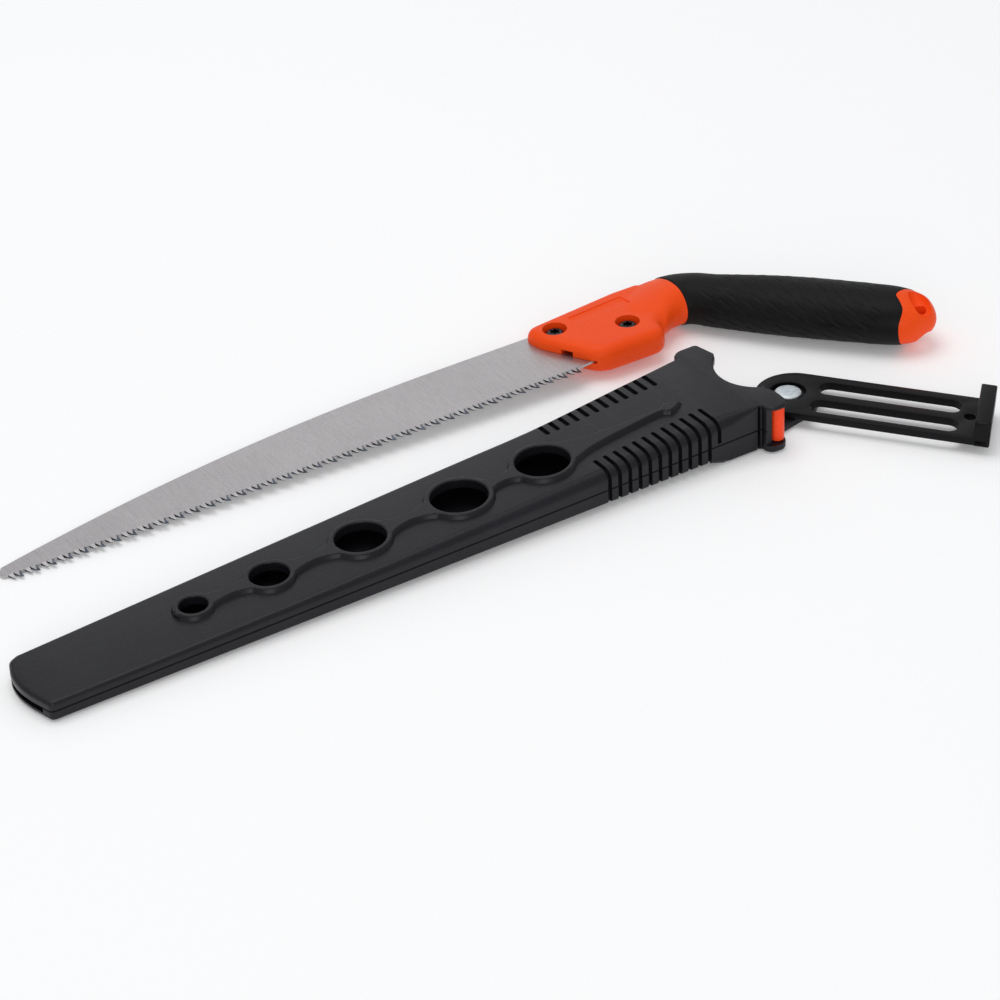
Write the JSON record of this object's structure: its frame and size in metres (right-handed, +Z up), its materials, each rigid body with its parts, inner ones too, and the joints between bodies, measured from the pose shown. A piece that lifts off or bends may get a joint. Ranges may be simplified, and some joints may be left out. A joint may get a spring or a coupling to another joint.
{
  "type": "pruning saw with holster",
  "caption": "Fixed-blade pruning saw with a curved-down soft grip, laid beside its hard two-shell holster with round holes, a latch roller and a swivelling belt hanger.",
  "frame": {"origin": "middle of the flat foot under the holster's mouth, on the holster's centre line, on the surface it lies on", "axes": "+X along the holster out of its mouth, +Y across it towards the saw's blade, +Z up from its back"},
  "size_m": [0.4602, 0.1949, 0.0254],
  "materials": {
    "holster_plastic": "hard black moulded plastic, fine grain with a soft sheen",
    "hanger_plastic": "black moulded plastic, smooth satin",
    "orange_plastic": "bright orange moulded plastic, satin",
    "grip_rubber": "black soft grip with a slanted cut texture",
    "blade_steel": "pale satin steel, ground tooth bevels darker",
    "screw_steel": "dark oxide screws",
    "pin_steel": "plain steel",
    "rivet_zinc": "matt bright zinc"
  },
  "bodies": {
    "holster": {"upper_shell": "holster_plastic", "lower_shell": "holster_plastic", "roller_pin": "pin_steel", "hanger_rivet": "rivet_zinc", "rivet_washer": "pin_steel"},
    "roller": {"latch_roller": "orange_plastic"},
    "hanger": {"hanger_arm": "hanger_plastic"},
    "saw": {"blade": "blade_steel", "handle_core": "orange_plastic", "grip_sleeve": "grip_rubber", "front_screw": "screw_steel", "rear_screw": "screw_steel", "front_barrel_nut": "screw_steel", "rear_barrel_nut": "screw_steel"}
  },
  "joints": [
    {"name": "hanger_swing", "type": "hinge", "parent": "holster", "child": "hanger", "pos_m": [0.038, 0, 0.0055], "axis": [0, 0, 1], "range_deg": [-42, 32]},
    {"name": "roller_spin", "type": "hinge", "parent": "holster", "child": "roller", "pos_m": [0.0136, -0.0246, 0.012], "axis": [0, 0, 1], "continuous": true},
    {"name": "saw_lift", "type": "slide", "parent": "holster", "child": "saw", "axis": [0, 0, 1], "range_m": [0, 0.15]}
  ]
}
